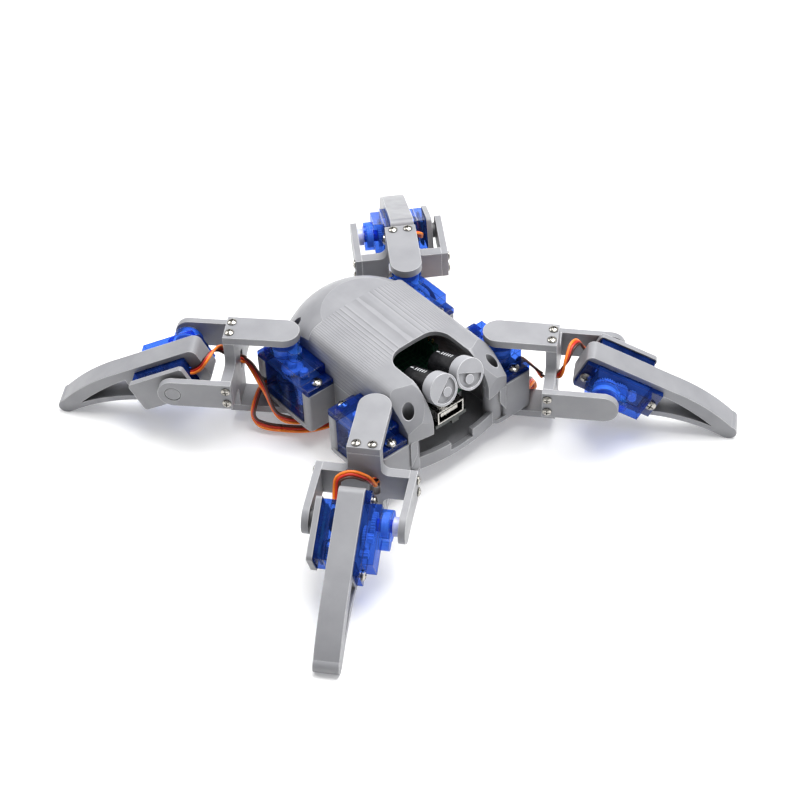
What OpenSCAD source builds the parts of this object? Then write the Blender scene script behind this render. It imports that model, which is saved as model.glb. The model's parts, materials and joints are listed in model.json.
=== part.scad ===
// Quadruped walking robot: a low body with four two-joint legs.
// Millimetres. +X is the front, +Y the left side, +Z up.
// The origin is the middle of the chassis floor's flat underside.

/* [Body] */
// Thickness of the chassis floor
floor_t = 2.2; // [1.6:0.2:3]
// Half of the body's width
body_half = 24.3; // [23:0.1:24.4]
// Distance of each hip axis from the body centre along X
hip_x = 27.6; // [27:0.2:29]
// Distance of each hip axis from the body centre along Y
hip_y = 30.6; // [30.6:0.2:32]
// Height of the cover's ridge above the floor's underside
cover_top = 37.7; // [36:0.5:40]
// Wall thickness of the cover
cover_wall = 2; // [1.6:0.2:2.4]
// Half of the width of the open window at the front
window_half = 13.2; // [12.8:0.1:13.6]

/* [Hip bracket] */
// Width of the stadium-shaped hip arms
arm_w = 12.4; // [11:0.2:13]
// Thickness of the hip arms
arm_t = 3.2; // [2.4:0.2:3.2]
// Distance from the hip axis to the bracket's outer face
bracket_r = 22.7; // [22:0.1:24]
// Thickness of the cross-shaped bracket
bracket_t = 4.2; // [3.6:0.2:4.6]
// Distance from the hip axis to the knee axis
knee_r = 41.5; // [41:0.5:46]
// Distance from the leg's mid-plane to the outer face of a side plate
plate_out = 19; // [19:0.1:20]
// Thickness of a side plate
plate_t = 2.7; // [2:0.1:2.7]
// Height of a side plate
plate_w = 11.9; // [11:0.1:12.5]

/* [Leg] */
// Distance from the knee axis to the centre of the rounded foot
foot_p = 53; // [50:1:58]
// Radius of the rounded foot
foot_r = 3.1; // [3.1:0.1:3.4]
// Width of the leg along the knee axis
leg_w = 9.5; // [8:0.5:9.5]
// Half of the leg's height around the servo
leg_half = 8.3; // [8:0.1:9]

/* [Pose] */
// How far the knees are bent down from level
knee_down = 25.2; // [0:0.1:60]
// Yaw of the front left leg away from straight ahead
yaw_fl = 41.3; // [0:0.1:90]
// Yaw of the front right leg away from straight ahead
yaw_fr = 49.9; // [0:0.1:90]
// Yaw of the rear left leg away from straight back
yaw_rl = 33.6; // [0:0.1:90]
// Yaw of the rear right leg away from straight back
yaw_rr = 43.2; // [0:0.1:90]

/* [Servo] */
// Length of the servo's case
servo_l = 22.8; // [22.5:0.1:23]
// Width of the servo's case
servo_w = 12.2; // [11.8:0.1:12.4]
// Height of the servo's case without its gear tower
servo_h = 22.7; // [22:0.1:23]

/* [Hidden] */
$fn = 64;
gap = 0.3;                       // clearance between parts that slide past each other
run = 0.05;                      // radial clearance of a shaft or pin in its bore
servo_end = 5.9;                 // case length beyond the shaft
flange_low = 15.9;               // underside of the mounting ears
flange_top = 18.4;
flange_reach = 4.7;              // how far an ear stands out of the case
ear_screw = 2.4;                 // ear screw's distance from the case
tower_top = 26.7;
tower_r = 5.9;
shaft_r = 2.3;
shaft_low = 21;                  // lower end of the output shaft, inside the tower
pin_r = 3.2;                     // pivot pins opposite the output shafts
servo_z = floor_t;               // hip servos stand on the chassis floor
deck_z = servo_z + flange_low;   // top of the posts, walls and blocks
arm_low = servo_z + tower_top + gap + 2.1;
arm_top = arm_low + arm_t;
under_low = -arm_t - 0.4;        // underside of the lower arms
knee_z = (arm_top + under_low) / 2;
servo_base_y = 13.1;             // knee servo's base, from the leg's mid-plane
plate_in = plate_out - plate_t;
leg_side = servo_base_y - flange_low;          // horn-side face of the leg (towards -Y)
leg_far = leg_side + leg_w;                    // pivot-side face of the leg
pocket = 0.15;                   // play around a servo case in its pocket
case_far = servo_l - servo_end;  // case length on the long side of the shaft
ridge_r = 90;                    // radius of the cover's flat arch
shoulder_r = 6;                  // radius of the cover's shoulders
dome_r = 34.1;                   // radius of the rear dome
dome_x = -17.2;
dome_z = servo_z + 4.4;
dome_join = -20.5;               // where the dome meets the arched middle
nose_r = 17.6;                   // radius of the curve down to the front
nose_x = 23.6;
nose_z = 20;
cheek_r = 44;                    // radius that rounds the front corners of the cover
cheek_x = 10;
bow_r = 98;                      // the front edge's bow, seen from above
bow_x = -56.2;
lip_r = 75;                      // radius of the front lip
lip_x = -35.3;
lip_z = 6.2;                     // top of the lip's rim
notch_half = 5.5;                // half of the lowered notch in the rim
notch_y = 1;
pad_x = 30;                      // half of the belly pad's length
pad_y = 8.8;                     // half of its width
groove = 0.6;                    // groove round the belly pad
post_in = 5.9;                   // posts between the servos, inner faces
post_out = 38.9;                 // posts at the corners, outer faces
post_y = hip_y + servo_w / 2 + 0.3;
boss_x_front = 34.6;             // cover screws
boss_x_rear = -33.5;
boss_y = 20.6;
boss_r = 3.6;
PILLARS_X = [-24, 22];           // board pillars
pillar_y = 13;
board_z = 14.6;
board_t = 1.6;
board_half = 16;
eye_x = 38.5;
eye_y = 6.45;
eye_z = 34.5;
eye_r = 6.3;
eye_tilt = 22;
can_r = 5.4;
can_l = 18;
can_leg_x = 23.8;                // where the cylinders' legs stand on the board
arm_screw_r = 20.5;
arm_screw_gap = 3;
shank_r = 0.9;
head_r = 1.75;
head_h = 1.1;
leg_top_r = 70;                  // curve along the top of the claw
leg_top_p = 27.5;                // its highest point
leg_low_r = 66;                  // curve along its underside
leg_low_p = 47;
leg_low_q = -2.3;
beam_low = 2.4;                  // thickness of the claw's lower beam
open_top_r = 95;                 // curve along the top of the claw's opening
open_top_p = 18;
open_top_q = 4.4;
wall_p = 22.6;                   // outer face of the bulkhead behind the servo
hip_end = 11.3;                  // leg's end beyond the knee axis

LEGS = ["fl", "fr", "rl", "rr"];
YAWS = [yaw_fl, yaw_fr, yaw_rl, yaw_rr];
LEG_PARTS = ["hip_servo", "top_arm", "bottom_arm", "cross_bracket", "horn_plate", "pivot_plate",
    "bracket_screws", "servo_horns", "leg", "knee_servo", "pivot_cap", "knee_screws", "knee_lead"];

// ---- placing ----

function side_x(i) = i < 2 ? 1 : -1;
function side_y(i) = i % 2 == 0 ? 1 : -1;

// One quarter of the body, mirrored from the front left one
module corner(i) {
    mirror([side_x(i) < 0 ? 1 : 0, 0, 0]) mirror([0, side_y(i) < 0 ? 1 : 0, 0]) children();
}

// A hip's own frame: X along the leg, servo horn side towards -Y
module at_hip(i) {
    corner(i) translate([hip_x, hip_y, 0]) rotate([0, 0, YAWS[i]]) children();
}

// A leg's own frame: origin on the knee axis, X towards the foot
module at_knee(i) {
    at_hip(i) translate([knee_r, 0, knee_z]) rotate([0, knee_down, 0]) children();
}

// A knee servo lies on its side, its shaft pointing to -Y
module lay_servo() {
    translate([0, servo_base_y, 0]) rotate([0, 180, 0]) rotate([90, 0, 0]) children();
}

// ---- shared pieces ----

// Pan-head screw: seat at the origin, shank towards -Z, cross recess on top
module screw(length, r = shank_r, head = head_r, high = head_h) {
    translate([0, 0, -length]) cylinder(r = r, h = length + 0.01);
    difference() {
        intersection() {
            cylinder(r = head, h = high);
            translate([0, 0, high - 1.6 * head]) sphere(r = 1.6 * head);
        }
        for (a = [0, 90]) rotate([0, 0, a])
            translate([-head * 0.6, -head * 0.13, high * 0.45]) cube([head * 1.2, head * 0.26, high]);
    }
}

// Micro servo: shaft on the Z axis, base at z = 0, long side towards -X
module servo() {
    difference() {
        union() {
            translate([-case_far, -servo_w / 2, 0]) cube([servo_l, servo_w, servo_h]);
            translate([-case_far - flange_reach, -servo_w / 2, flange_low])
                cube([servo_l + 2 * flange_reach, servo_w, flange_top - flange_low]);
            cylinder(r = tower_r, h = tower_top);
            translate([-tower_r - 0.6, 0, 0]) cylinder(r = 2.8, h = tower_top);
        }
        translate([0, 0, shaft_low - 0.2]) cylinder(r = shaft_r + run, h = servo_h);
        for (x = [servo_end + ear_screw, -case_far - ear_screw])
            translate([x, 0, flange_low - 1]) cylinder(r = 1, h = 5);
    }
}

// Output shaft with its horn hub; the tower's top is at z = tower_top
module horn(high) {
    translate([0, 0, shaft_low]) cylinder(r = shaft_r, h = tower_top + gap + 0.01 - shaft_low);
    translate([0, 0, tower_top + gap]) cylinder(r = 3.6, h = high);
}

// Pivot pin with a bevelled lower end
module pin(high) {
    cylinder(r1 = pin_r - 0.4, r2 = pin_r, h = 0.4);
    translate([0, 0, 0.4]) cylinder(r = pin_r, h = high - 0.4);
}

// Arm or side plate: round about its own axis, square at the far end
module stadium(long, wide, thick) {
    linear_extrude(thick) {
        circle(d = wide);
        translate([0, -wide / 2]) square([long, wide]);
    }
}

// Flat rounded-corner slab from corner a to corner b
module rounded_slab(a, b, r, high) {
    linear_extrude(high) {
        translate([a[0] + r, a[1]]) square([b[0] - a[0] - 2 * r, b[1] - a[1]]);
        translate([a[0], a[1] + r]) square([b[0] - a[0], b[1] - a[1] - 2 * r]);
        for (x = [a[0] + r, b[0] - r], y = [a[1] + r, b[1] - r]) translate([x, y]) circle(r = r);
    }
}

// ---- chassis ----

// Outline of the body seen from above, set in by d
module body_outline(d = 0) {
    intersection() {
        union() {
            translate([dome_x, 0]) circle(r = sqrt(pow(dome_r, 2) - pow(deck_z - dome_z, 2)) - d);
            translate([-25, -body_half]) square([55, 2 * body_half]);
            intersection() {
                translate([lip_x, 0]) circle(r = lip_r - d, $fn = 256);
                translate([20, -60]) square([40, 120]);
            }
        }
        translate([-60, -body_half + d]) square([120, 2 * (body_half - d)]);
    }
}

module chassis() {
    color("lightgray") difference() {
        union() {
            linear_extrude(floor_t) body_outline();
            for (i = [0:3]) corner(i) chassis_corner();
            chassis_walls();
            chassis_lip();
        }
        // shallow groove round the flat belly pad
        translate([0, 0, -1]) difference() {
            rounded_slab([-pad_x - groove, -pad_y - groove], [pad_x + groove, pad_y + groove], 3, 1.4);
            rounded_slab([-pad_x, -pad_y], [pad_x, pad_y], 2.4, 1.5);
        }
        for (i = [0:3]) corner(i) {
            // way in for the leads, below the board
            translate([7, 14, -1]) cylinder(r = 4, h = floor_t + 2);
            // pilot holes for the ear screws
            for (x = [hip_x + servo_end + ear_screw, hip_x - case_far - ear_screw])
                translate([x, hip_y, deck_z - 9]) cylinder(r = shank_r + run, h = 12);
            // notch that lets the hip servo's lead out
            translate([hip_x + servo_end - 0.01, hip_y - 3, floor_t]) cube([2.6, 20, 7]);
        }
        for (x = [boss_x_front, boss_x_rear], y = [-boss_y, boss_y])
            translate([x, y, deck_z - 8]) cylinder(r = shank_r + run, h = 12);
        for (x = PILLARS_X, y = [-pillar_y, pillar_y])
            translate([x, y, board_z - 7]) cylinder(r = shank_r + run, h = 12);
    }
}

// Servo bay floor, its two posts, and the pivot pin under the hip axis
module chassis_corner() {
    rounded_slab([post_in, body_half - 6], [post_out, post_y + 0.2], 3, floor_t);
    servo_far = hip_x - case_far - pocket;
    rounded_slab([servo_far - 4.8, body_half - 1], [servo_far, post_y], 1.5, deck_z);
    rounded_slab([hip_x + servo_end + pocket, body_half - 1], [post_out, post_y], 1.5, deck_z);
    translate([hip_x, hip_y, under_low]) pin(floor_t - under_low);
}

// Side and rear walls, corner blocks and board pillars
module chassis_walls() {
    difference() {
        linear_extrude(deck_z) body_outline();
        translate([0, 0, -1]) linear_extrude(deck_z + 2) body_outline(1.8);
        translate([33, -60, -1]) cube([60, 120, deck_z + 2]);
    }
    for (x = [boss_x_front, boss_x_rear], y = [-boss_y, boss_y])
        translate([x, y, 0]) cylinder(r = boss_r, h = deck_z);
    // shelves under the cover's front corners, bevelled below
    for (s = [0, 1]) mirror([0, s, 0]) translate([33, 0, 0]) rotate([90, 0, 90]) linear_extrude(6.3)
        polygon([[body_half - 3.7, deck_z - 6.9], [body_half - 3.7, deck_z], [body_half - 0.5, deck_z],
            [body_half - 0.5, deck_z - 12.3]]);
    for (x = PILLARS_X, y = [-pillar_y, pillar_y]) translate([x, y, 0]) cylinder(r = 2.4, h = board_z);
}

// Raised rim of the front lip, with its lowered notch
module chassis_lip() {
    difference() {
        translate([lip_x, 0, 0]) cylinder(r = lip_r, h = lip_z, $fn = 256);
        translate([lip_x, 0, -1]) cylinder(r = lip_r - 2, h = lip_z + 2, $fn = 256);
        translate([-120, -90, -1]) cube([154, 180, lip_z + 2]);
        for (s = [0, 1]) mirror([0, s, 0]) translate([0, body_half - 0.5, -1]) cube([60, 60, lip_z + 2]);
        translate([30, notch_y - notch_half, floor_t + 0.3]) cube([20, 2 * notch_half, 10]);
    }
}

// ---- cover ----

// Points of an arc, in steps
function arc(centre, r, from, to, steps) =
    [for (k = [0:steps]) let (a = from + (to - from) * k / steps) centre + r * [cos(a), sin(a)]];

// Arched cross-section of the cover, Y across and Z up, set in by d
module arch(d) {
    reach = body_half - shoulder_r;
    ridge_z = cover_top - ridge_r;
    shoulder_z = ridge_z + sqrt(pow(ridge_r - shoulder_r, 2) - pow(reach, 2));
    lean = asin(reach / (ridge_r - shoulder_r));
    polygon(concat([[d - body_half, 0], [body_half - d, 0]],
        arc([reach, shoulder_z], shoulder_r - d, 0, 90 - lean, 8),
        arc([0, ridge_z], ridge_r - d, 90 - lean, 90 + lean, 14),
        arc([-reach, shoulder_z], shoulder_r - d, 90 + lean, 180, 8)));
}

// Solid of the cover's outside, set in by d
module cover_form(d) {
    intersection() {
        translate([-60, 0, 0]) rotate([90, 0, 90]) linear_extrude(120) arch(d);
        union() {
            intersection() {
                translate([dome_x, 0, dome_z]) sphere(r = dome_r - d, $fn = 128);
                translate([-60, -60, 0]) cube([60 + dome_join + 0.01, 120, 60]);
            }
            translate([dome_join, -60, 0]) cube([cheek_x - dome_join + 0.01, 120, 60]);
            intersection() {
                translate([cheek_x, 0, 0]) sphere(r = cheek_r - d, $fn = 128);
                translate([bow_x, 0, -1]) cylinder(r = bow_r - d, h = 70, $fn = 256);
                union() {
                    translate([cheek_x, -60, 0]) cube([nose_x - cheek_x, 120, 60]);
                    translate([nose_x - 0.01, -60, 0]) cube([nose_r - d + 0.01, 120, nose_z]);
                    intersection() {
                        translate([nose_x, 60, nose_z]) rotate([90, 0, 0])
                            cylinder(r = nose_r - d, h = 120, $fn = 128);
                        translate([nose_x - 0.01, -60, nose_z - 0.01]) cube([60, 120, 60]);
                    }
                }
            }
        }
    }
}

// Window seen from above: a round-cornered slot that opens to the front
module window_outline() {
    corner_r = 7;
    back = 12.5;
    straight = 30;
    translate([back + corner_r, -window_half]) square([straight - back - corner_r, 2 * window_half]);
    translate([back, -window_half + corner_r]) square([straight - back, 2 * (window_half - corner_r)]);
    for (s = [-1, 1]) translate([back + corner_r, s * (window_half - corner_r)]) circle(r = corner_r);
    polygon([[straight - 1, -window_half], [50, -window_half - 1], [50, window_half + 1],
        [straight - 1, window_half]]);
}

module cover() {
    color("silver") difference() {
        union() {
            difference() {
                cover_form(0);
                cover_form(cover_wall);
                translate([-70, -70, -1]) cube([140, 140, deck_z + 1]);
            }
            // bosses that take the four cover screws
            intersection() {
                cover_form(0);
                for (x = [boss_x_front, boss_x_rear], y = [-boss_y, boss_y])
                    translate([x, y, deck_z]) cylinder(r = boss_r, h = 30);
            }
        }
        translate([0, 0, deck_z - 1]) linear_extrude(60) window_outline();
        for (x = [boss_x_front, boss_x_rear], y = [-boss_y, boss_y]) translate([x, y, deck_z - 1]) {
            cylinder(r = shank_r + 0.2, h = 40);
            translate([0, 0, 4]) cylinder(r = 2.3, h = 40);
        }
    }
}

// ---- electronics ----

module controller_board() {
    color("darkgreen") translate([0, 0, board_z]) difference() {
        union() {
            translate([-27.5, -board_half, 0]) cube([54.5, 2 * board_half, board_t]);
            translate([26, -9.5, 0]) cube([10.8, 15, board_t]);
        }
        for (x = PILLARS_X, y = [-pillar_y, pillar_y]) translate([x, y, -1]) cylinder(r = 1.1, h = board_t + 2);
    }
    color("black") translate([0, 0, board_z + board_t]) {
        translate([-14, -5, 0]) cube([10, 10, 1.4]);
        for (y = [-board_half + 1, board_half - 3.5]) translate([-16, y, 0]) cube([26, 2.5, 8.5]);
        translate([-25, -5, 0]) cube([6, 10, 5]);
        translate([32.4, -1.2, -board_t - 2.4]) cube([4, 3.4, 2.5]);
    }
}

// Frame of one eye: Z out of the eye's face, origin at the face's centre
module at_eye(s) {
    translate([eye_x, s * eye_y, eye_z]) rotate([0, 90 - eye_tilt, 0]) children();
}

// The two black cylinders that carry the eyes, with their legs down to the board
module eye_cylinders() {
    color("black") for (s = [-1, 1]) {
        at_eye(s) translate([0, 0, -1.6 - can_l]) cylinder(r = can_r, h = can_l);
        for (y = [-1.8, 1.8]) translate([can_leg_x, s * eye_y + y, board_z + board_t])
            cylinder(r = 0.4, h = 7.6);
    }
}

// Cup-shaped cap with a raised eyelid and a pupil, turned by a
module eye_cap(a) {
    rim = 1;
    deep = 0.9;
    difference() {
        translate([0, 0, -5]) cylinder(r = eye_r, h = 5);
        translate([0, 0, -5.1]) cylinder(r = can_r + run, h = 3.5);
        rotate([0, 0, a]) intersection() {
            translate([0, 0, -deep]) cylinder(r = eye_r - rim, h = 2);
            translate([-0.4, -10, -deep]) cube([10, 20, 2]);
        }
    }
    rotate([0, 0, a]) translate([1.9, 0, -deep - 0.01]) cylinder(r = 1.9, h = deep + 0.01);
}

module eye_caps() {
    color("gainsboro") {
        at_eye(-1) eye_cap(40);
        at_eye(1) eye_cap(-25);
    }
}

// Metal socket on the board's front edge, with its black tongue
module usb_socket() {
    wide = 12.6;
    high = 6;
    deep = 9;
    shell = 0.6;
    translate([36.8 - deep, -2 - wide / 2, board_z + board_t]) {
        color("silver") difference() {
            cube([deep, wide, high]);
            translate([1, shell, shell]) cube([deep, wide - 2 * shell, high - 2 * shell]);
        }
        color("black") translate([1, 2.2, 2]) cube([deep - 2, wide - 4.4, 1.8]);
    }
}

module body_screws() {
    color("silver") {
        for (i = [0:3]) corner(i) {
            for (x = [hip_x + servo_end + ear_screw, hip_x - case_far - ear_screw])
                translate([x, hip_y, servo_z + flange_top]) screw(9, head = 2.2, high = 1.5);
        }
        for (x = [boss_x_front, boss_x_rear], y = [-boss_y, boss_y])
            translate([x, y, deck_z + 3]) screw(9, head = 2, high = 1.3);
        for (x = PILLARS_X, y = [-pillar_y, pillar_y]) translate([x, y, board_z + board_t]) screw(7);
    }
}

// ---- leads ----

function unit(v) = v / norm(v);
function tangent(p, i) = unit(p[min(i + 1, len(p) - 1)] - p[max(i - 1, 0)]);
function across(t) = let (u = cross(t, [0, 0, 1])) norm(u) < 0.2 ? unit(cross(t, [1, 0, 0])) : unit(u);
// Point on a smooth curve through the route p, at parameter t
function on_route(p, t) = let (i = min(floor(t), len(p) - 2), s = t - i,
    a = p[max(i - 1, 0)], b = p[i], c = p[i + 1], d = p[min(i + 2, len(p) - 1)])
    0.5 * (2 * b + (c - a) * s + (2 * a - 5 * b + 4 * c - d) * s * s + (3 * b - a - 3 * c + d) * s * s * s);

// Round lead swept along a route
module lead(route, r = 1.2, sides = 8, per_span = 4) {
    steps = (len(route) - 1) * per_span;
    path = [for (k = [0:steps]) on_route(route, k / per_span)];
    rings = [for (k = [0:steps]) let (t = tangent(path, k), u = across(t), v = cross(u, t))
        for (j = [0:sides - 1]) path[k] + r * (cos(360 * j / sides) * u + sin(360 * j / sides) * v)];
    walls = [for (k = [0:steps - 1], j = [0:sides - 1]) let (n = (j + 1) % sides)
        [k * sides + j, k * sides + n, (k + 1) * sides + n, (k + 1) * sides + j]];
    polyhedron(rings, concat([[for (j = [sides - 1:-1:0]) j]], walls,
        [[for (j = [0:sides - 1]) steps * sides + j]]));
}

// From a quarter's hip frame to the body frame of the front left quarter
function turn(p, a) = [hip_x + p[0] * cos(a) - p[1] * sin(a), hip_y + p[0] * sin(a) + p[1] * cos(a), p[2]];

// Knee servo's lead: over the leg's end, through the bracket's slot, under the floor and up to the board
KNEE_LEAD_HIP = [[36.1, 8.4, 18], [34.3, 8.4, 18.9], [31.8, 8.7, 21.2], [29.6, 8.2, 24.6], [27.6, 4, 25.5],
    [26, -1, 22.5], [24, -3.2, 18], [20.5, -3.4, 16], [17, -2.6, 15.6], [13, 2, 15.5]];
KNEE_LEAD_BODY = [[27, 42.5, 12], [23, 40.5, 0], [17.5, 35, -3.4], [12.5, 25, -3.2], [9.2, 17, -2.4],
    [8.6, 14, 2], [8.6, 14, 9], [8.6, 14, 14.6]];
// Hip servo's lead: out of the corner post, round in a loop and under the floor
HIP_LEAD = [[34.8, 28.2, 5.5], [34.8, 31.5, 5.5], [34.8, 35, 5.5], [34.5, 39, 5.2], [31, 45, 2.5],
    [30, 46.8, -2.5], [27, 45, -6], [21, 40, -6.8], [13, 32, -6.4], [7.4, 22, -4.6], [5.4, 15.5, -2.5],
    [5.4, 14, 2], [5.4, 14, 9], [5.4, 14, 14.6]];

module knee_lead(i) {
    color("orangered") corner(i)
        lead(concat([for (p = KNEE_LEAD_HIP) turn(p, YAWS[i])], KNEE_LEAD_BODY));
}

module hip_leads() {
    color("orangered") for (i = [0:3]) corner(i) lead(HIP_LEAD);
}

// ---- hip ----

module hip_servo(i) {
    color("royalblue") corner(i) translate([hip_x, hip_y, servo_z]) servo();
}

module top_arm(i) {
    color("silver") at_hip(i) translate([0, 0, arm_low]) difference() {
        stadium(bracket_r, arm_w, arm_t);
        for (y = [-arm_screw_gap, arm_screw_gap]) translate([arm_screw_r, y, -1]) cylinder(r = 1, h = arm_t + 2);
    }
}

module bottom_arm(i) {
    color("silver") at_hip(i) translate([0, 0, under_low]) difference() {
        stadium(bracket_r, arm_w, arm_t);
        translate([0, 0, -1]) cylinder(r = pin_r + run, h = arm_t + 2);
        for (y = [-arm_screw_gap, arm_screw_gap]) translate([arm_screw_r, y, -1]) cylinder(r = 1, h = arm_t + 2);
    }
}

// Quarter-round fill for an inner corner of the cross
module corner_fill(r) {
    difference() {
        square([r, r]);
        translate([r, r]) circle(r = r);
    }
}

module cross_bracket(i) {
    fillet = 3;
    inner = bracket_r - bracket_t;
    post_high = arm_low - under_low - arm_t;
    color("silver") at_hip(i) difference() {
        union() {
            translate([inner, -arm_w / 2, under_low + arm_t]) cube([bracket_t, arm_w, post_high]);
            translate([inner, -plate_in, knee_z - plate_w / 2]) cube([bracket_t, 2 * plate_in, plate_w]);
            for (s = [-1, 1], u = [-1, 1]) translate([inner, s * arm_w / 2, knee_z + u * plate_w / 2])
                rotate([90, 0, 90]) mirror([s < 0 ? 1 : 0, 0]) mirror([0, u < 0 ? 1 : 0])
                    linear_extrude(bracket_t) corner_fill(fillet);
        }
        // slot for the knee servo's lead
        translate([inner - 1, -3.4, knee_z - 2.5]) rotate([0, 90, 0]) cylinder(r = 2.1, h = bracket_t + 2);
        translate([inner - 1, -5.5, knee_z - 2.5]) cube([bracket_t + 2, 4.2, 5]);
        translate([inner - 1, -3.4, knee_z + 2.5]) rotate([0, 90, 0]) cylinder(r = 2.1, h = bracket_t + 2);
        for (y = [-arm_screw_gap, arm_screw_gap]) {
            translate([arm_screw_r, y, arm_low - 6.5]) cylinder(r = shank_r + run, h = 8);
            translate([arm_screw_r, y, under_low + arm_t - 1]) cylinder(r = shank_r + run, h = 7.5);
        }
        for (s = [-1, 1], u = [-1, 1]) translate([arm_screw_r, s * (plate_in - 6), knee_z + u * arm_screw_gap])
            rotate([-90 * s, 0, 0]) cylinder(r = shank_r + run, h = 8);
    }
}

// Side plate standing in the leg's plane; s is the side it is on
module side_plate(s, bore) {
    long = knee_r - (bracket_r - bracket_t);
    translate([knee_r, s > 0 ? plate_out : -plate_in, knee_z]) rotate([90, 0, 0]) difference() {
        mirror([1, 0, 0]) stadium(long, plate_w, plate_t);
        for (u = [-1, 1]) translate([arm_screw_r - knee_r, u * arm_screw_gap, -1]) cylinder(r = 1, h = plate_t + 2);
        if (bore) translate([0, 0, -1]) cylinder(r = pin_r + run, h = plate_t + 2);
    }
}

module horn_plate(i) {
    color("silver") at_hip(i) side_plate(-1, false);
}

module pivot_plate(i) {
    color("silver") at_hip(i) side_plate(1, true);
}

module bracket_screws(i) {
    color("silver") at_hip(i) {
        for (y = [-arm_screw_gap, arm_screw_gap]) {
            translate([arm_screw_r, y, arm_top]) screw(8);
            translate([arm_screw_r, y, under_low]) rotate([180, 0, 0]) screw(8);
        }
        for (s = [-1, 1], u = [-1, 1]) translate([arm_screw_r, s * plate_out, knee_z + u * arm_screw_gap])
            rotate([-90 * s, 0, 0]) screw(8);
    }
}

module servo_horns(i) {
    color("lightsteelblue") at_hip(i) {
        translate([0, 0, servo_z]) horn(arm_low - servo_z - tower_top - gap);
        translate([knee_r, 0, knee_z]) lay_servo() horn(plate_in + servo_base_y - tower_top - gap);
    }
}

// ---- leg ----

// Shape between an upper and a lower arc, from p = from to p = to
module claw(from, to, top, top_r, low, low_r) {
    difference() {
        intersection() {
            translate([from, -12]) square([to - from, 21]);
            translate([top[0], top[1] - top_r]) circle(r = top_r, $fn = 256);
        }
        translate([low[0], low[1] - low_r]) circle(r = low_r, $fn = 256);
    }
}

module leg_outline() {
    r = 3;
    translate([-hip_end + r, -leg_half]) square([wall_p + hip_end - r, 2 * leg_half]);
    translate([wall_p - 1, 0]) square([leg_top_p - wall_p - 1, leg_half]);
    translate([-hip_end, -leg_half + r]) square([r + 1, 2 * (leg_half - r)]);
    for (s = [-1, 1]) translate([-hip_end + r, s * (leg_half - r)]) circle(r = r);
    claw(17.5, foot_p, [leg_top_p, leg_half + 0.05], leg_top_r, [leg_low_p, leg_low_q], leg_low_r);
    translate([foot_p, leg_low_q + foot_r - 0.2]) circle(r = foot_r);
}

module leg(i) {
    color("silver") at_knee(i) translate([0, leg_far, 0]) rotate([90, 0, 0]) difference() {
        linear_extrude(leg_w) leg_outline();
        translate([0, 0, -1]) linear_extrude(leg_w + 2) {
            translate([-servo_end - pocket, -servo_w / 2 - pocket])
                square([servo_l + 2 * pocket, servo_w + 2 * pocket]);
            claw(wall_p, foot_p - 2.5, [open_top_p, open_top_q], open_top_r,
                [leg_low_p, leg_low_q + beam_low], leg_low_r);
        }
        for (p = [-servo_end - ear_screw, case_far + ear_screw])
            translate([p, 0, leg_w - 8]) cylinder(r = shank_r + run, h = 12);
    }
}

module knee_servo(i) {
    color("royalblue") at_knee(i) lay_servo() servo();
}

// Cap over the knee servo's base, with the pin that turns in the pivot plate
module pivot_cap(i) {
    wall = 0.7;
    deep = 0.7;
    back = 1.5;
    p0 = -servo_end - pocket - wall;
    color("silver") at_knee(i) translate([0, servo_base_y + back, 0]) rotate([90, 0, 0]) {
        difference() {
            rounded_slab([p0, -servo_w / 2 - pocket - wall],
                [case_far + pocket + wall, servo_w / 2 + pocket + wall], 1.5, back + deep);
            translate([-servo_end - pocket, -servo_w / 2 - pocket, back])
                cube([servo_l + 2 * pocket, servo_w + 2 * pocket, deep + 1]);
        }
        translate([0, 0, servo_base_y + back - plate_out]) pin(plate_out - servo_base_y);
    }
}

module knee_screws(i) {
    color("silver") at_knee(i)
        for (p = [-servo_end - ear_screw, case_far + ear_screw])
            translate([p, servo_base_y - flange_top, 0]) rotate([90, 0, 0]) screw(9, head = 2.2, high = 1.5);
}

// ---- drawing ----

chassis();
cover();
controller_board();
eye_cylinders();
eye_caps();
usb_socket();
body_screws();
hip_leads();
for (i = [0:3]) {
    hip_servo(i);
    top_arm(i);
    bottom_arm(i);
    cross_bracket(i);
    horn_plate(i);
    pivot_plate(i);
    bracket_screws(i);
    servo_horns(i);
    leg(i);
    knee_servo(i);
    pivot_cap(i);
    knee_screws(i);
    knee_lead(i);
}
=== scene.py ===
"""Looks of a small quadruped walking robot: grey plastic, clear blue servos, three-wire leads.

Metres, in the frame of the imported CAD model: +X is the front, +Y the left side, +Z up.
"""

import json
import math
import random

import bmesh
import bpy
from mathutils import Matrix, Vector

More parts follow.
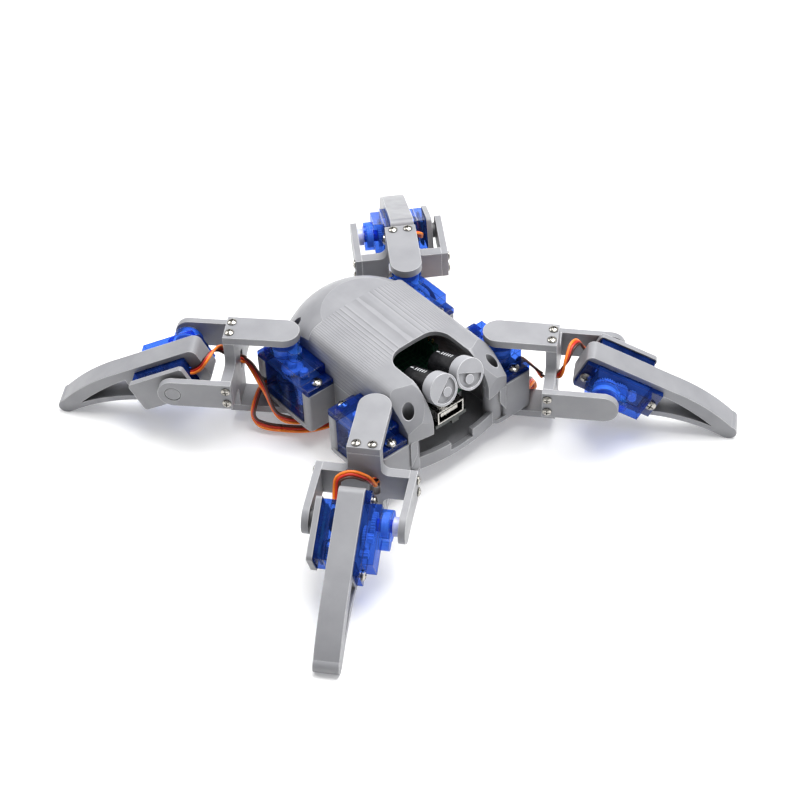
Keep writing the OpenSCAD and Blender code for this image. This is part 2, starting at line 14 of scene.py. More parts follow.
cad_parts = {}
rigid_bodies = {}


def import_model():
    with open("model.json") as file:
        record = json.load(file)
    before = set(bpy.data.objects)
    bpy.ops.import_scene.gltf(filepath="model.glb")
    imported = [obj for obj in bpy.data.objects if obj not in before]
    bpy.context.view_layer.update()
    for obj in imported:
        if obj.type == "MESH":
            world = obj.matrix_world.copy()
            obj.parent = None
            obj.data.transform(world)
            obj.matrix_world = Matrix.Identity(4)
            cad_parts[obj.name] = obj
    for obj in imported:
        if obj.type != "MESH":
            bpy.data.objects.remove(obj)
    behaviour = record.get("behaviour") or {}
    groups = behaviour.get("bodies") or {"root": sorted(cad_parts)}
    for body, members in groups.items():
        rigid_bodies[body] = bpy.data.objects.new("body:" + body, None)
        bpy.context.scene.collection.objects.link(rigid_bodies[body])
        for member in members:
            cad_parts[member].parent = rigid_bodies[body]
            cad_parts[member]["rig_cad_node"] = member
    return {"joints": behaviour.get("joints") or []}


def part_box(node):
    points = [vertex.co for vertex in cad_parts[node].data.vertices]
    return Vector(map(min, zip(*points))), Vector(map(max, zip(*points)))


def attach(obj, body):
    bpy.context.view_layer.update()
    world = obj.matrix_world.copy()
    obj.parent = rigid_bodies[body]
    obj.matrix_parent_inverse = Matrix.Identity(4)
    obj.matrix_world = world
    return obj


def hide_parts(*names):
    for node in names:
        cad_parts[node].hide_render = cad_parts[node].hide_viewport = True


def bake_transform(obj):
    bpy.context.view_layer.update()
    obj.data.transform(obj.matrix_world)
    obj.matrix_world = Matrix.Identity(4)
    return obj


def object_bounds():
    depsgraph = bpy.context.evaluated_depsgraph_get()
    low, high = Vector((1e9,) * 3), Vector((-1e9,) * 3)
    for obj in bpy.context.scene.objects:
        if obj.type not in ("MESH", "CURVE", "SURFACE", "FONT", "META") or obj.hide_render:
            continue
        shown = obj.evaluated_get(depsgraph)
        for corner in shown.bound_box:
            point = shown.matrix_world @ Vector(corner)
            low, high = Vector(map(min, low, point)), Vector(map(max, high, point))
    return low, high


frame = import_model()
cad_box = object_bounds()

MM = 0.001
NODES = {o.get("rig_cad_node", o.name): o for o in bpy.data.objects if "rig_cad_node" in o}
JOINTS = {j["name"]: j for j in frame["joints"]}
LEGS = {"fl": (1, 1), "fr": (1, -1), "rl": (-1, 1), "rr": (-1, -1)}  # sides along X and Y

# Sizes that the looks share with the CAD model, in millimetres
KNEE_DOWN = 25.2          # degrees
SERVO_Z = 2.2             # underside of the hip servos
SERVO_BASE_Y = 13.1       # base of a knee servo, from the leg's mid-plane
SERVO_TOP = 22.7          # top of a servo's case, without its tower
RIDGE_R = 90              # radius of the cover's flat arch
BOARD_TOP = 16.2          # upper side of the controller board
BOARD_SHADE_FROM = 27           # painted shade darkens the board from here to the front
CASE_SEAMS = (4.4, 18.45)  # heights of the seams round a servo's case
EYE = (38.5, 6.45, 34.5)  # middle of the left eye's face
EYE_TILT = 22.0           # degrees above the horizon
CAN_R = 5.4               # radius of the eye cylinders


# ---- placing ----

def axes(x, y, z, at):
    """A rigid placement with these axis directions and this origin."""
    return Matrix.Translation(at) @ Matrix((x, y, z)).transposed().to_4x4()


def hip_frame(leg):
    """X along the leg, servo horn side towards -Y; left-handed on a mirrored leg."""
    hip, knee = (Vector(JOINTS[f"{leg}_{j}"]["pos_m"]) for j in ("hip", "knee"))
    x = Vector((knee.x - hip.x, knee.y - hip.y, 0)).normalized()
    side = LEGS[leg][0] * LEGS[leg][1]
    return axes(x, Vector((0, 0, 1)).cross(x) * side, Vector((0, 0, 1)), hip)


def knee_frame(leg):
    """Origin on the knee axis, X towards the foot."""
    knee = hip_frame(leg).inverted() @ Vector(JOINTS[f"{leg}_knee"]["pos_m"])
    turn = Matrix.Rotation(math.radians(KNEE_DOWN), 4, "Y")
    return hip_frame(leg) @ Matrix.Translation(knee) @ turn


def servo_frame(leg, joint):
    """Shaft on Z, base at z = 0, long side towards -X. A servo is its own mirror image across Y."""
    if joint == "hip":
        sx, sy = LEGS[leg]
        hip = Vector(JOINTS[f"{leg}_hip"]["pos_m"])
        place = axes(Vector((sx, 0, 0)), Vector((0, sy, 0)), Vector((0, 0, 1)), hip)
        place = place @ Matrix.Translation((0, 0, SERVO_Z * MM))
    else:
        place = knee_frame(leg) @ Matrix.Translation((0, SERVO_BASE_Y * MM, 0))
        place = place @ Matrix.Rotation(math.pi, 4, "Y") @ Matrix.Rotation(math.pi / 2, 4, "X")
    if place.to_3x3().determinant() < 0:
        place = place @ Matrix.Diagonal((1, -1, 1, 1))
    return place


# ---- materials ----

class Finish:
    """A material, built node by node around one Principled shader."""

    def __init__(self, name, **sockets):
        self.material = bpy.data.materials.new(name)
        self.material.use_nodes = True
        self.tree = self.material.node_tree
        self.tree.nodes.clear()
        self.output = self.tree.nodes.new("ShaderNodeOutputMaterial")
        self.shader = self.add("BsdfPrincipled", **sockets)
        self.link(self.shader.outputs[0], self.output.inputs["Surface"])

    def link(self, source, target):
        self.tree.links.new(source, target)

    def fill(self, target, value):
        if isinstance(value, bpy.types.NodeSocket):
            self.link(value, target)
        elif hasattr(target.default_value, "__len__") and len(target.default_value) == 4:
            target.default_value = (*value[:3], 1)
        else:
            target.default_value = value

    def add(self, kind, settings=None, **sockets):
        node = self.tree.nodes.new("ShaderNode" + kind)
        for name, value in (settings or {}).items():
            setattr(node, name, value)
        for name, value in sockets.items():
            self.fill(node.inputs[name.replace("_", " ")], value)
        return node

    def math(self, operation, a, b=0.0):
        node = self.add("Math", {"operation": operation})
        for target, value in zip(node.inputs, (a, b)):
            self.fill(target, value)
        return node.outputs[0]

    def times(self, a, b):
        return self.math("MULTIPLY", a, b)

    def plus(self, a, b):
        return self.math("ADD", a, b)

    def minus(self, a, b):
        return self.math("SUBTRACT", a, b)

    def size(self, value):
        return self.math("ABSOLUTE", value)

    def most(self, a, b):
        return self.math("MAXIMUM", a, b)

    def within(self, value, reach):
        return self.math("LESS_THAN", self.size(value), reach)

    def span(self, value, low, high, first=0.0, last=1.0):
        return self.add("MapRange", Value=value, From_Min=low, From_Max=high,
                        To_Min=first, To_Max=last).outputs[0]

    def tint(self, share, a, b):
        node = self.add("Mix", {"data_type": "RGBA"})
        for target, value in zip((node.inputs[0], node.inputs[6], node.inputs[7]), (share, a, b)):
            self.fill(target, value)
        return node.outputs[2]

    def place(self, where=None):
        """Coordinates in metres: the model's own, or those of the given placement."""
        at = self.add("TexCoord").outputs["Object"]
        if where is None:
            return at
        node = self.add("Mapping", {"vector_type": "TEXTURE"}, Vector=at)
        node.inputs["Location"].default_value = where.to_translation()
        node.inputs["Rotation"].default_value = where.to_euler()
        return node.outputs[0]

    def parts(self, vector):
        return self.add("SeparateXYZ", Vector=vector).outputs

    def millimetres(self, vector):
        return [self.math("DIVIDE", value, MM) for value in self.parts(vector)]

    def noise(self, vector, scale, detail=3.0):
        return self.add("TexNoise", Vector=vector, Scale=scale, Detail=detail).outputs["Fac"]

    def hollow(self, reach, open_side, closed_side):
        """How enclosed a point is, from 0 to 1, by what lies within reach of it."""
        near = self.add("AmbientOcclusion", {"samples": 8}, Distance=reach).outputs["AO"]
        return self.span(near, open_side, closed_side)

    def rounded(self, radius):
        """Normals as if the edges were rounded, and how near an edge a point is, from 0 to 1."""
        normal = self.add("Bevel", {"samples": 6}, Radius=radius).outputs[0]
        flat = self.add("NewGeometry").outputs["Normal"]
        turned = self.add("VectorMath", {"operation": "DOT_PRODUCT"})
        self.link(normal, turned.inputs[0])
        self.link(flat, turned.inputs[1])
        return normal, self.span(turned.outputs["Value"], 0.999, 0.92)

    def bump(self, height, strength, distance, normal=None):
        sockets = {"Height": height, "Strength": strength, "Distance": distance}
        if normal is not None:
            sockets["Normal"] = normal
        return self.add("Bump", **sockets).outputs[0]

    def shade(self, **sockets):
        for name, value in sockets.items():
            self.fill(self.shader.inputs[name.replace("_", " ")], value)
        return self.material


GREY_LOW = (0.240, 0.242, 0.258)
GREY_HIGH = (0.276, 0.278, 0.294)
# pale grey painted on the rounded edges as a highlight
GREY_EDGE = (0.62, 0.62, 0.64)
# dark grey painted into hollows as shade
GREY_HOLLOW_SHADE = (0.055, 0.054, 0.056)
LAYER_END = (0.11, 0.11, 0.12)      # dark line where a printed layer ends
LAYER_START = (0.40, 0.40, 0.42)    # pale start of the next one


def grey_plastic(name, layers=None, lighter=1.0):
    """Satin grey plastic with painted highlights on its rounded edges and painted shade in its hollows.
    layers gives the faint steps of the print.
    """
    f = Finish(name, IOR=1.46)
    at = f.place()
    cloud, grain = f.noise(at, 90, 4), f.noise(at, 2600, 3)
    greys = (GREY_LOW, GREY_HIGH, GREY_EDGE)
    low, high, pale = (tuple(min(1, v * lighter) for v in grey) for grey in greys)
    colour = f.tint(f.span(cloud, 0.35, 0.65), low, high)
    normal, edge = f.rounded(0.5 * MM)
    if layers:
        colour, normal = layers(f, at, colour, normal)
    # painted highlight: the rounded edges are lightened towards pale grey, more in some places than in
    # others
    edge_highlight = f.times(edge, f.span(f.noise(at, 240, 3), 0.3, 0.6, 0.6, 1.0))
    colour = f.tint(edge_highlight, colour, pale)
    # painted shade: darker in hollows, crevices and between parts, by how enclosed each point is
    hollow_shade = f.hollow(7 * MM, 0.85, 0.25)
    colour = f.tint(f.times(hollow_shade, 0.6), colour, GREY_HOLLOW_SHADE)
    normal = f.bump(grain, 0.12, 0.05 * MM, normal)
    rough = f.span(f.noise(at, 260, 3), 0.3, 0.7, 0.34, 0.46)
    return f.shade(Base_Color=colour, Roughness=rough, Normal=normal)


def printed_steps(f, at, colour, normal):
    """The steps of the printed layers over the arched middle of the cover, softer along its ridge."""
    x, y, z = f.millimetres(at)
    step, first = 0.2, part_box("cover")[1].z / MM - 0.05
    fall = f.math("DIVIDE", f.times(y, y), -2 * RIDGE_R)
    below = f.minus(f.minus(z, first), fall)
    wander = f.times(f.minus(f.noise(at, 60, 2), 0.5), 0.02)
    height = f.plus(f.plus(fall, wander), f.times(below, 0.10))
    rise = f.math("FRACT", f.math("DIVIDE", height, step))
    middle = f.times(f.span(x, -20.6, -20.2), f.span(x, 15.5, 11.5))
    slope = f.span(f.size(y), 2.5, 9.5)
    soft = f.times(middle, f.plus(f.times(slope, 0.65), 0.35))
    steps = f.times(f.minus(1.0, rise), soft)
    line = f.times(f.span(rise, 0.70, 0.95), soft)
    colour = f.tint(f.times(line, 0.65), colour, LAYER_END)
    start = f.times(f.times(f.span(rise, 0.35, 0.05), soft), 0.5)
    return f.tint(start, colour, LAYER_START), f.bump(steps, 0.6, step * MM, normal)


def fine_layers(f, at, colour, normal):
    """Barely visible level lines on an upright printed wall."""
    z = f.parts(at)[2]
    wave = f.math("SINE", f.times(z, math.tau / (0.3 * MM)))
    return colour, f.bump(wave, 0.08, 0.03 * MM, normal)


def clear_blue(name, where):
    """Deep blue see-through case plastic, darker and less clear along its edges as painted shade and at
    its real seams; seams and tower ribs lie in the servo's own frame.
    """
    f = Finish(name, IOR=1.5, Coat_Weight=0.5, Coat_Roughness=0.03)
    at = f.place(where)
    x, y, z = f.millimetres(at)
    normal, edge = f.rounded(0.4 * MM)
    on_tower = f.math("GREATER_THAN", z, SERVO_TOP + 0.05)
    ribs = f.math("SINE", f.times(f.math("ARCTAN2", y, x), 44.0))
    ribs = f.times(ribs, on_tower)
    normal = f.bump(ribs, 0.5, 0.12 * MM, normal)
    normal = f.bump(f.noise(at, 700, 2), 0.05, 0.1 * MM, normal)
    # painted shade: the case turns dark navy and less clear along its edges, as where one looks along
    # its walls; the seams round the case are real dark joints
    seams = f.most(*[f.span(f.size(f.minus(z, height)), 0.30, 0.12) for height in CASE_SEAMS])
    edge_shade_and_seams = f.most(edge, f.times(seams, 0.8))
    cloud = f.noise(at, 160, 3)
    colour = f.tint(f.span(cloud, 0.3, 0.7), (0.006, 0.035, 0.24), (0.014, 0.070, 0.42))
    colour = f.tint(f.times(on_tower, 0.6), colour, (0.06, 0.26, 0.90))
    colour = f.tint(edge_shade_and_seams, colour, (0.002, 0.008, 0.07))
    f.shade(Base_Color=colour, Roughness=0.08, Normal=normal)
    clear = f.add("BsdfTransparent", Color=(0.24, 0.43, 0.93))
    solid = f.span(f.plus(f.span(cloud, 0.3, 0.7, 0.14, 0.26), f.times(edge_shade_and_seams, 0.70)),
                   0.0, 1.0)
    mix = f.add("MixShader")
    f.fill(mix.inputs[0], solid)
    f.link(clear.outputs[0], mix.inputs[1])
    f.link(f.shader.outputs[0], mix.inputs[2])
    f.link(mix.outputs[0], f.output.inputs["Surface"])
    return f.material


def steel(name, tone=(0.50, 0.48, 0.44), reach=0.8):
    """Bright metal that goes dark in its hollows as painted shade, looked for within reach millimetres.
    """
    f = Finish(name, Metallic=1.0)
    at = f.place()
    normal, _ = f.rounded(0.12 * MM)
    cloud = f.noise(at, 900, 4)
    dull = tuple(0.72 * v for v in tone)
    rough = f.span(cloud, 0.3, 0.7, 0.16, 0.32)
    # painted shade: near black in recesses, such as the screws' cross slots
    hollow = f.hollow(reach * MM, 0.88, 0.50)
    colour = f.tint(f.span(cloud, 0.4, 0.65), dull, tone)
    return f.shade(Base_Color=f.tint(hollow, colour, (0.03, 0.03, 0.03)), Roughness=rough,
                   Normal=f.bump(f.noise(at, 3500, 2), 0.12, 0.02 * MM, normal))


def nylon(name, colour, pale, see=0.35):
    """Milky gear and horn plastic that light gets into, with a painted highlight along its edges."""
    f = Finish(name, IOR=1.5, Subsurface_Weight=see, Subsurface_Scale=0.9 * MM)
    at = f.place()
    f.shader.inputs["Subsurface Radius"].default_value = (0.6, 0.7, 1.0)
    cloud = f.noise(at, 400, 3)
    normal, edge = f.rounded(0.2 * MM)
    body = f.tint(f.span(cloud, 0.3, 0.7), colour, tuple(0.5 * (a + b) for a, b in zip(colour, pale)))
    # painted highlight: the edges are lightened towards pale
    return f.shade(Base_Color=f.tint(f.times(edge, 0.6), body, pale),
                   Roughness=f.span(cloud, 0.3, 0.7, 0.22, 0.34), Normal=normal)


def moulded(name, low, high, rough=0.4, scale=600, dent=0.08, **sockets):
    """An evenly coloured moulded or painted surface with a slight mottle and dents."""
    f = Finish(name, **sockets)
    at = f.place()
    cloud = f.noise(at, scale, 3)
    normal, _ = f.rounded(0.12 * MM)
    return f.shade(Base_Color=f.tint(f.span(cloud, 0.3, 0.7), low, high),
                   Roughness=f.span(cloud, 0.3, 0.7, rough * 0.85, rough * 1.15),
                   Normal=f.bump(f.noise(at, scale * 4, 2), dent, 0.04 * MM, normal))


def sleeve(name):
    """Glossy black sleeve of the eye cylinders, with a row of small pale marks and a dash along it."""
    f = Finish(name, IOR=1.5, Coat_Weight=0.3, Coat_Roughness=0.08)
    lean = Matrix.Rotation(math.radians(90 - EYE_TILT), 4, "Y")
    lean.translation = Vector((EYE[0], 0, EYE[2])) * MM
    at = f.place(lean)
    x, y, z = f.millimetres(at)
    across = f.minus(f.size(y), EYE[1])
    around = f.math("ARCTAN2", across, f.times(x, -1.0))
    around = f.minus(f.times(f.math("SIGN", y), around), 0.1)
    arc = f.times(around, CAN_R)
    beat = f.math("FRACT", f.plus(f.math("DIVIDE", z, 1.45), f.times(arc, 0.12)))
    row = f.times(f.within(arc, 0.85), f.math("LESS_THAN", beat, 0.42))
    row = f.times(row, f.within(f.plus(z, 13.2), 3.6))
    dash = f.times(f.within(arc, 0.28), f.within(f.plus(z, 18.3), 0.9))
    mark = f.most(row, dash)
    cloud = f.noise(at, 500, 3)
    black = f.tint(f.span(cloud, 0.3, 0.7), (0.006, 0.006, 0.007), (0.016, 0.016, 0.018))
    normal, _ = f.rounded(0.5 * MM)
    return f.shade(Base_Color=f.tint(mark, black, (0.62, 0.63, 0.65)),
                   Roughness=f.span(cloud, 0.3, 0.7, 0.14, 0.26),
                   Normal=f.bump(f.noise(at, 220, 2), 0.10, 0.15 * MM, normal))


def solder_mask(name):
    """Dark green board with faint traces under the lacquer, and painted shade over its front part."""
    f = Finish(name, IOR=1.5, Coat_Weight=0.3, Coat_Roughness=0.1)
    at = f.place()
    x, y, _ = f.parts(at)
    bands = []
    for line, spacing, scale in ((x, 2.3, 220), (y, 1.9, 170)):
        wobble = f.times(f.math("ROUND", f.times(f.noise(at, scale, 0), 6.0)), 0.5 * MM)
        beat = f.math("FRACT", f.math("DIVIDE", f.plus(line, wobble), spacing * MM))
        bands.append(f.span(f.size(f.minus(beat, 0.5)), 0.12, 0.08))
    traces = f.most(*bands)
    colour = f.tint(traces, (0.012, 0.050, 0.030), (0.030, 0.12, 0.070))
    # painted shade: the board's front part, deep inside the body's nose, is made near black
    colour = f.tint(f.math("GREATER_THAN", x, BOARD_SHADE_FROM * MM), colour, (0.003, 0.010, 0.006))
    return f.shade(Base_Color=colour, Roughness=0.34, Normal=f.bump(traces, 0.3, 0.04 * MM))


GREY = grey_plastic("grey")
GREY_WALL = grey_plastic("grey_wall", fine_layers)
GREY_COVER = grey_plastic("grey_cover", printed_steps)
GREY_EYE = grey_plastic("grey_eye", lighter=1.4)
STEEL = steel("screw")
SHEET_STEEL = steel("sheet_metal", (0.62, 0.60, 0.56), 5)
HORN = nylon("horn", (0.42, 0.45, 0.72), (0.78, 0.80, 0.95))
GEAR = nylon("gear", (0.62, 0.68, 0.80), (0.92, 0.95, 1.0), 0.2)
BLACK = moulded("black_plastic", (0.010, 0.010, 0.011), (0.022, 0.022, 0.024), 0.38)
CHIP = moulded("chip", (0.014, 0.014, 0.015), (0.03, 0.03, 0.032), 0.5)
CAN = steel("motor_can", (0.5, 0.5, 0.52))
MASK = solder_mask("solder_mask")
GOLD = steel("pad", (0.83, 0.62, 0.28))
PALE = moulded("ceramic", (0.50, 0.42, 0.30), (0.62, 0.52, 0.38), 0.45)
ORANGE = moulded("wire_orange", (0.84, 0.17, 0.012), (0.95, 0.25, 0.02), 0.34, 300, 0.15)
RED = moulded("wire_red", (0.50, 0.020, 0.008), (0.62, 0.035, 0.012), 0.34, 300, 0.15)
BROWN = moulded("wire_brown", (0.045, 0.012, 0.006), (0.075, 0.02, 0.010), 0.36, 300, 0.15)


def dress(node, *materials):
    """Gives a CAD node these materials, in the order of its slots."""
    mesh = NODES[node].data
    if not mesh.materials:
        mesh.materials.append(materials[0])
    for k in range(len(mesh.materials)):
        mesh.materials[k] = materials[min(k, len(materials) - 1)]


# ---- meshes ----

class Shape:
    """Closed pieces gathered in one mesh, sized in millimetres, each with its own material."""

    def __init__(self, *materials):
        self.bm = bmesh.new()
        self.materials = materials

    def paint(self, verts, material):
        for face in {f for v in verts for f in v.link_faces}:
            face.material_index = self.materials.index(material)

    def prism(self, outline, low, high, material, chamfer=0.0, place=None):
        """The outline raised from low to high along Z, its rims cut back by chamfer."""
        count = len(outline)
        middle = Vector((sum(p[0] for p in outline) / count, sum(p[1] for p in outline) / count))
        rings = [(low, chamfer), (low + chamfer, 0), (high - chamfer, 0), (high, chamfer)]
        if not chamfer:
            rings = [(low, 0), (high, 0)]
        made = []
        for height, cut in rings:
            ring = []
            for p in outline:
                out = Vector(p) - middle
                out *= max(0.0, 1 - cut / max(out.length, 1e-6))
                ring.append(self.bm.verts.new((*(middle + out), height)))
            made.append(ring)
        self.bm.faces.new(made[0][::-1])
        self.bm.faces.new(made[-1])
        for a, b in zip(made, made[1:]):
            for k in range(count):
                n = (k + 1) % count
                self.bm.faces.new((a[k], a[n], b[n], b[k]))
        verts = [v for ring in made for v in ring]
        if place is not None:
            bmesh.ops.transform(self.bm, matrix=place, verts=verts)
        self.paint(verts, material)

    def block(self, low, high, material, chamfer=0.15, place=None):
        (x0, y0, z0), (x1, y1, z1) = low, high
        self.prism([(x0, y0), (x1, y0), (x1, y1), (x0, y1)], z0, z1, material, chamfer, place)

    def disc(self, at, radius, low, high, material, chamfer=0.2, sides=28, place=None):
        outline = [(at[0] + radius * math.cos(math.tau * k / sides),
                    at[1] + radius * math.sin(math.tau * k / sides)) for k in range(sides)]
        self.prism(outline, low, high, material, chamfer, place)

    def gear(self, at, radius, teeth, low, high, material):
        outline = []
        for k in range(4 * teeth):
            r = radius if k % 4 < 2 else radius * 0.86
            a = math.tau * (k + 0.5) / (4 * teeth)
            outline.append((at[0] + r * math.cos(a), at[1] + r * math.sin(a)))
        self.prism(outline, low, high, material)

    def object(self, name, place=None):
        mesh = bpy.data.meshes.new(name)
        bmesh.ops.recalc_face_normals(self.bm, faces=self.bm.faces)
        bmesh.ops.scale(self.bm, vec=(MM, MM, MM), verts=self.bm.verts)
        self.bm.to_mesh(mesh)
        self.bm.free()
        for m in self.materials:
            mesh.materials.append(m)
        return put(name, mesh, place)


def put(name, mesh, place=None):
    o = bpy.data.objects.new(name, mesh)
    bpy.context.scene.collection.objects.link(o)
    if place is not None:
        o.matrix_world = place
    return o


# ---- camera, lights and floor ----

def add_camera():
    data = bpy.data.cameras.new("camera")
    data.lens, data.sensor_width = 92.4, 36.0
    data.clip_start, data.clip_end = 0.01, 20
    camera = bpy.data.objects.new("camera", data)
    camera.location = (0.46274, -0.35856, 0.55542)
    camera.rotation_euler = (0.80911, 0.03389, 0.87551)
    bpy.context.scene.collection.objects.link(camera)
    bpy.context.scene.camera = camera


def add_light(name, at, towards, size, power):
    data = bpy.data.lights.new(name, "AREA")
    data.shape, data.size, data.energy = "SQUARE", size, power
    lamp = bpy.data.objects.new(name, data)
    lamp.location = at
    lamp.rotation_euler = (Vector(towards) - Vector(at)).to_track_quat("-Z", "Y").to_euler()
    bpy.context.scene.collection.objects.link(lamp)


def add_studio():
    world = bpy.data.worlds.new("studio")
    world.use_nodes = True
    world.node_tree.nodes["Background"].inputs["Color"].default_value = (1.0, 1.0, 1.0, 1)
    world.node_tree.nodes["Background"].inputs["Strength"].default_value = 0.36
    bpy.context.scene.world = world
    add_light("key", (-0.05, 0.31, 0.92), (0, 0, 0), 0.80, 16.2)
    add_light("front", (0.90, 0.70, 0.45), (0, 0, 0.02), 0.55, 2.5)
    add_light("back", (-0.6, -0.3, 0.6), (0, 0, 0.02), 0.40, 2.2)
    bpy.context.scene.view_settings.view_transform = "Standard"
    level = cad_box[0][2]
    bm = bmesh.new()
    bmesh.ops.create_grid(bm, x_segments=2, y_segments=2, size=2.5)
    mesh = bpy.data.meshes.new("floor")
    bm.to_mesh(mesh)
    bm.free()
    floor = put("floor", mesh, Matrix.Translation((0, 0, level)))
    f = Finish("floor", Roughness=0.6)
    paper = f.tint(f.noise(f.place(), 8, 2), (0.83, 0.83, 0.82), (0.85, 0.85, 0.835))
    mesh.materials.append(f.shade(Base_Color=paper, Emission_Color=(0.94, 0.95, 1.0),
                                  Emission_Strength=0.24))


add_camera()
add_studio()


# ---- leads ----

STRAND = 0.55             # radius of one wire, in millimetres
PITCH = 1.06              # from one wire to the next

# Knee servo's lead: its first stretch in the hip's frame, the rest in the front left corner's
KNEE_LEAD_HIP = [
    (36.1, 8.4, 18), (34.3, 8.4, 18.9), (31.8, 8.7, 21.2), (29.6, 8.2, 24.6), (27.6, 4, 25.5),
    (26, -1, 22.5), (24, -3.2, 18), (20.5, -3.4, 16), (17, -2.6, 15.6), (13, 2, 15.5),
]
KNEE_LEAD_BODY = [
    (27, 42.5, 12), (23, 40.5, 0), (17.5, 35, -3.4), (12.5, 25, -3.2), (9.2, 17, -2.4),
    (8.6, 14, 2), (8.6, 14, 9), (8.6, 14, 14.6),
]
HIP_LEAD = [
    (34.8, 28.2, 5.5), (34.8, 31.5, 5.5), (34.8, 35, 5.5), (34.5, 39, 5.2), (31, 45, 2.5),
    (30, 46.8, -2.5), (27, 45, -6), (21, 40, -6.8), (13, 32, -6.4), (7.4, 22, -4.6),
    (5.4, 15.5, -2.5), (5.4, 14, 2), (5.4, 14, 9), (5.4, 14, 14.6),
]
# Points of the knee lead's route, counted from its servo
SPLIT = 8                 # fixed in the bracket's slot, where the upper stretch ends
LOOP = 7                  # swings aside with the lower arm, where the upper stretch ends
OUTWARDS = (0.2, 0.7, 0.6)  # the way the leads' flat side faces in the front left corner


def along(route, first, last, steps=6):
    """Points of the smooth curve through the route, from one of its points to another."""
    found = []
    for i in range(first, last):
        a, b, c, d = (route[min(max(k, 0), len(route) - 1)] for k in (i - 1, i, i + 1, i + 2))
        for k in range(steps):
            s = k / steps
            found.append(0.5 * (2 * b + (c - a) * s + (2 * a - 5 * b + 4 * c - d) * s ** 2
                                + (3 * b - a - 3 * c + d) * s ** 3))
    return found + [route[last].copy()]


def three_wires(name, line, across, outwards):
    """Three round wires side by side along the line, the orange one outermost.

    across is their direction where the lead starts; from there it turns until the flat side
    faces outwards. Without it the lead starts turned that way."""
    sides, made = 10, bmesh.new()
    turns, last = [], None
    for k, p in enumerate(line):
        t = (line[min(k + 1, len(line) - 1)] - line[max(k - 1, 0)]).normalized()
        if last is not None:
            across = last.rotation_difference(t) @ across
        last = t
        wish = t.cross(outwards)
        if k == 0:
            across = wish if across is None else across
            across = -across if wish.dot(across) < 0 else across
        share = min(1.0, 5 * k / len(line)) * min(1.0, wish.length * 1.5)
        across = (across - t * across.dot(t)).normalized()
        if wish.length > 0.05:
            across = (across * (1 - share) + wish.normalized() * share)
            across = (across - t * across.dot(t)).normalized()
        turns.append((p, across.copy(), t.cross(across)))
    for wire in (-1, 0, 1):
        rings = []
        for p, u, v in turns:
            middle = p + u * (wire * PITCH * MM)
            rings.append([made.verts.new(middle + (u * math.cos(math.tau * j / sides)
                                                   + v * math.sin(math.tau * j / sides)) * STRAND * MM)
                          for j in range(sides)])
        for a, b in zip(rings, rings[1:]):
            for j in range(sides):
                n = (j + 1) % sides
                face = made.faces.new((a[j], a[n], b[n], b[j]))
                face.smooth, face.material_index = True, wire + 1
        for ring in (rings[0][::-1], rings[-1]):
            made.faces.new(ring).material_index = wire + 1
    bmesh.ops.recalc_face_normals(made, faces=made.faces)
    mesh = bpy.data.meshes.new(name)
    made.to_mesh(mesh)
    made.free()
    for m in (ORANGE, RED, BROWN):
        mesh.materials.append(m)
    return put(name, mesh)


def add_lead(name, line, across, outwards, node):
    lead = three_wires(name, line, across, outwards)
    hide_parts(node)
    return lead


def add_leads(leg):
    sx, sy = LEGS[leg]
    corner = Matrix.Diagonal((sx, sy, 1, 1))
    hip = hip_frame(leg)
    knee_route = [hip @ (Vector(p) * MM) for p in KNEE_LEAD_HIP]
    knee_route += [corner @ (Vector(p) * MM) for p in KNEE_LEAD_BODY]
    out = corner.to_3x3() @ Vector(OUTWARDS) * (-sx * sy)

    line = along(knee_route, 0, SPLIT)
    lead = add_lead(f"{leg}_knee_lead_upper", line, hip.to_3x3() @ Vector((0, -1, 0)), out,
                    f"{leg}_knee_lead")
    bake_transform(lead)

    line = along(knee_route, SPLIT, len(knee_route) - 1)
    lead = add_lead(f"{leg}_knee_lead_under", line, hip.to_3x3() @ Vector((0, 0, 1)), out,
                    f"{leg}_knee_lead")
    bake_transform(lead)

    route = [corner @ (Vector(p) * MM) for p in HIP_LEAD]
    line = along(route, 0, LOOP)
    lead = add_lead(f"{leg}_hip_lead_upper", line, Vector((0, 0, 1)), out, "hip_leads")
    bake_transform(lead)

    line = along(route, LOOP, len(route) - 1)
    lead = add_lead(f"{leg}_hip_lead_under", line, None, out, "hip_leads")
    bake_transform(lead)


for leg in LEGS:
    add_leads(leg)


# ---- servos ----

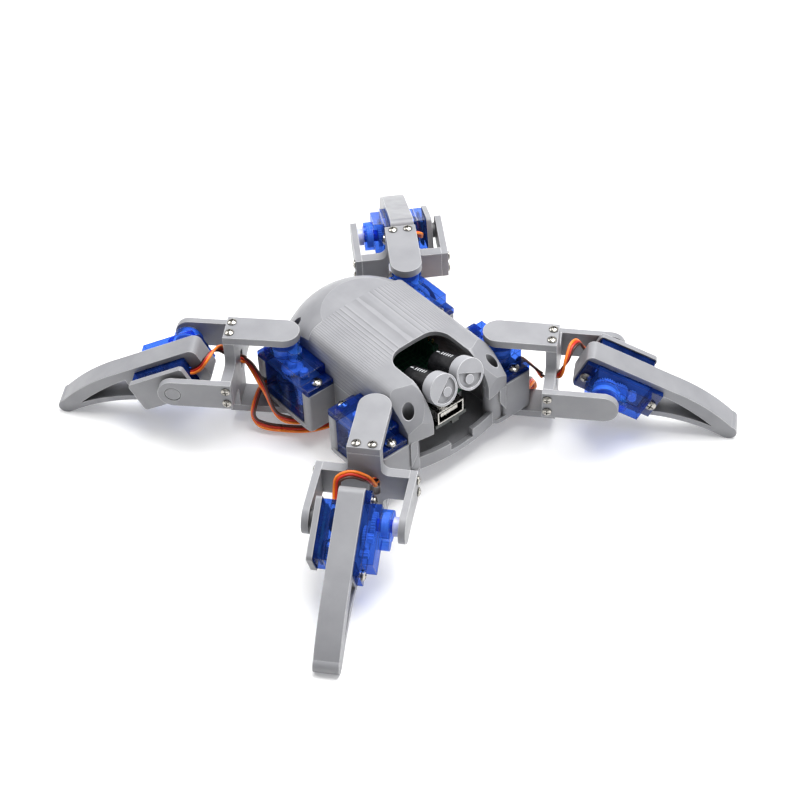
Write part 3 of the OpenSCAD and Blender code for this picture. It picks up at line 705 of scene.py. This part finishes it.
def servo_insides(name, place):
    """Motor, sensor, small board and gear train, seen through the case."""
    shaft, motor, idler = (0, 0), (-11.4, 0), (-5.6, 1.2)
    chips = ((-12, -2.4, 4.2, 4.0), (-5.5, 1.6, 3.0, 5.0), (0.5, -2.2, 2.2, 2.6), (1.2, 2.6, 1.6, 1.2))
    s = Shape(CAN, MASK, CHIP, GEAR, BLACK, GOLD, GREY_EYE)
    s.block((-15.6, -5.0, 2.0), (4.4, 5.0, 3.0), MASK, 0.1)
    for x, y, w, d in chips:
        s.block((x - w / 2, y - d / 2, 1.0), (x + w / 2, y + d / 2, 2.02), CHIP, 0.15)
    for k in range(5):
        s.disc((-2.2 + 1.3 * k, -4.2), 0.35, 2.98, 3.5, GOLD, 0.1, 12)
    s.disc(motor, 4.2, 4.2, 14.6, CAN, 0.5)
    s.disc(motor, 2.0, 14.5, 15.6, CAN, 0.2, 20)
    s.disc(motor, 3.6, 3.2, 4.4, BLACK, 0.3)
    s.disc(shaft, 4.3, 4.0, 8.6, BLACK, 0.4)
    s.disc(shaft, 2.2, 8.4, 16.0, GEAR, 0.3, 20)
    s.block((-16.2, -5.5, 15.2), (5.2, 5.5, 16.2), GREY_EYE, 0.2)
    s.gear(motor, 1.7, 9, 16.4, 19.6, GEAR)
    s.gear(idler, 4.3, 26, 17.0, 18.4, GEAR)
    s.gear(idler, 1.9, 10, 18.4, 20.6, GEAR)
    s.gear((0, -0.2), 4.6, 28, 19.2, 20.8, GEAR)
    s.disc(shaft, 4.9, 23.0, 25.6, GEAR, 0.3, 36)
    return s.object(name, place)


def add_servo(leg, joint):
    name = f"{leg}_{joint}_servo"
    place = servo_frame(leg, joint)
    dress(name, clear_blue(f"{name}_case", place))
    inner = servo_insides(f"{name}_insides", place)
    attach(inner, "body" if joint == "hip" else f"{leg}_lower_leg")


for leg in LEGS:
    for joint in ("hip", "knee"):
        add_servo(leg, joint)


# ---- carried-over nodes ----

GREY_PARTS = ("top_arm", "bottom_arm", "cross_bracket", "horn_plate", "pivot_plate", "pivot_cap", "leg")

for leg in LEGS:
    for part in GREY_PARTS:
        dress(f"{leg}_{part}", GREY)
    for part in ("bracket_screws", "knee_screws"):
        dress(f"{leg}_{part}", STEEL)
    dress(f"{leg}_servo_horns", HORN)
dress("chassis", GREY_WALL)
dress("cover", GREY_COVER)
dress("eye_caps", GREY_EYE)
dress("eye_cylinders", sleeve("sleeve"))
dress("controller_board", MASK, CHIP)
dress("usb_socket", SHEET_STEEL, BLACK)
dress("body_screws", STEEL)


# ---- controller board's parts ----

PIN_ROW = 13.75           # rows of header pins, from the board's middle line
FIRST_PIN = -14.7
PIN_PITCH = 2.54
CAN_LEG_X = 23.8          # where the eye cylinders' legs stand


def board_parts():
    """Header pins in two rows, and small parts strewn clear of the cylinders' legs and the pillars."""
    s = Shape(CHIP, PALE, SHEET_STEEL, GOLD, BLACK)
    draw = random.Random(5)
    top = BOARD_TOP
    for row in (-PIN_ROW, PIN_ROW):
        for k in range(10):
            x = FIRST_PIN + PIN_PITCH * k
            s.block((x - 0.3, row - 0.3, top + 8.4), (x + 0.3, row + 0.3, top + 11.2), GOLD, 0.08)
    for _ in range(30):
        x, y = draw.uniform(11.5, 26), draw.uniform(-11, 11)
        by_leg = abs(x - CAN_LEG_X) < 1.8 and 3.4 < abs(y) < 9.6
        by_pillar = 19 < x < 24.5 and abs(y) > 10
        if by_leg or by_pillar:
            continue
        w, d = draw.choice(((1.6, 0.8), (0.8, 1.6), (2.0, 1.2)))
        s.block((x - w / 2, y - d / 2, top), (x + w / 2, y + d / 2, top + 0.6),
                draw.choice((PALE, CHIP, SHEET_STEEL)), 0.1)
    parts = s.object("board_parts")
    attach(parts, "body")


board_parts()
